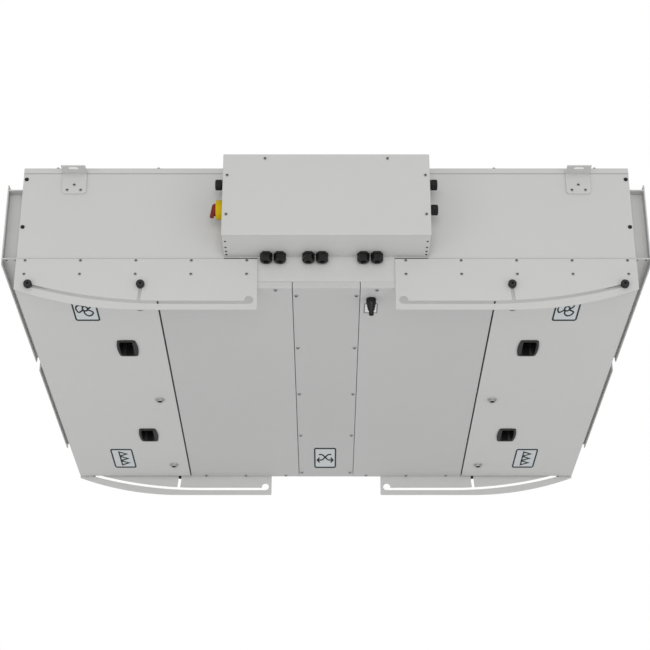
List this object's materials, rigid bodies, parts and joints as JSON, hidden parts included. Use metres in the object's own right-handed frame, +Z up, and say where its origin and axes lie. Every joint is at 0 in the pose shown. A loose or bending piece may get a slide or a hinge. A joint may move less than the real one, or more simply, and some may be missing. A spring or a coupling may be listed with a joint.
{
  "type": "ceiling air handling unit",
  "caption": "Flat ceiling-hung heat recovery air handling unit with duct collars at both ends, drop-down doors on slotted guide plates and a control box on its front.",
  "frame": {"origin": "centre of the four hanger slots, level with the top faces of the hanger brackets", "axes": "+Z up towards the ceiling, +X along the casing's width to the right as seen from the front, +Y from the front with the control box to the rear"},
  "size_m": [1.586, 1.404, 0.3945],
  "materials": {
    "casing_paint": "satin powder coat, light warm grey",
    "black_plastic": "moulded, fine grain",
    "lock_steel": "zinc plated",
    "switch_yellow": "moulded",
    "switch_red": "moulded",
    "filter_cloth": "pleated fleece",
    "galvanised_sheet": "galvanised",
    "exchanger_sheet": "plain sheet"
  },
  "bodies": {
    "casing": {"top_panel": "casing_paint", "front_panel": "casing_paint", "rear_panel": "casing_paint", "left_end_panel": "casing_paint", "right_end_panel": "casing_paint", "left_mullion": "casing_paint", "right_mullion": "casing_paint", "left_base_panel": "casing_paint", "right_base_panel": "casing_paint", "centre_panel": "casing_paint", "left_front_guide_plate": "casing_paint", "right_front_guide_plate": "casing_paint", "left_rear_guide_plate": "casing_paint", "right_rear_guide_plate": "casing_paint", "left_front_duct_collar": "casing_paint", "right_front_duct_collar": "casing_paint", "left_rear_duct_collar": "casing_paint", "right_rear_duct_collar": "casing_paint", "left_front_hanger": "casing_paint", "right_front_hanger": "casing_paint", "left_rear_hanger": "casing_paint", "right_rear_hanger": "casing_paint", "control_box": "casing_paint", "control_box_cover": "casing_paint", "isolator_base": "switch_yellow", "lower_cable_glands": "black_plastic", "side_cable_glands": "black_plastic", "drain_stub": "black_plastic", "panel_caps": "black_plastic", "left_filter": "filter_cloth", "right_filter": "filter_cloth", "left_fan": "galvanised_sheet", "right_fan": "galvanised_sheet", "heat_exchanger": "exchanger_sheet"},
    "left_door_leaf": {"left_door": "casing_paint", "left_door_handles": "black_plastic", "left_door_locks": "lock_steel", "left_door_pins": "black_plastic"},
    "right_door_leaf": {"right_door": "casing_paint", "right_door_handles": "black_plastic", "right_door_locks": "lock_steel", "right_door_pins": "black_plastic"},
    "isolator_knob": {"isolator_handle": "switch_red"}
  },
  "joints": [
    {"name": "left_door_drop", "type": "hinge", "parent": "casing", "child": "left_door_leaf", "pos_m": [-0.716, 0, -0.3122], "axis": [0, 1, 0], "range_deg": [0, 9.3]},
    {"name": "right_door_drop", "type": "hinge", "parent": "casing", "child": "right_door_leaf", "pos_m": [0.716, 0, -0.3122], "axis": [0, -1, 0], "range_deg": [0, 9.3]},
    {"name": "isolator_turn", "type": "hinge", "parent": "casing", "child": "isolator_knob", "pos_m": [-0.2665, -0.685, -0.138], "axis": [-1, 0, 0], "range_deg": [0, 90]}
  ]
}
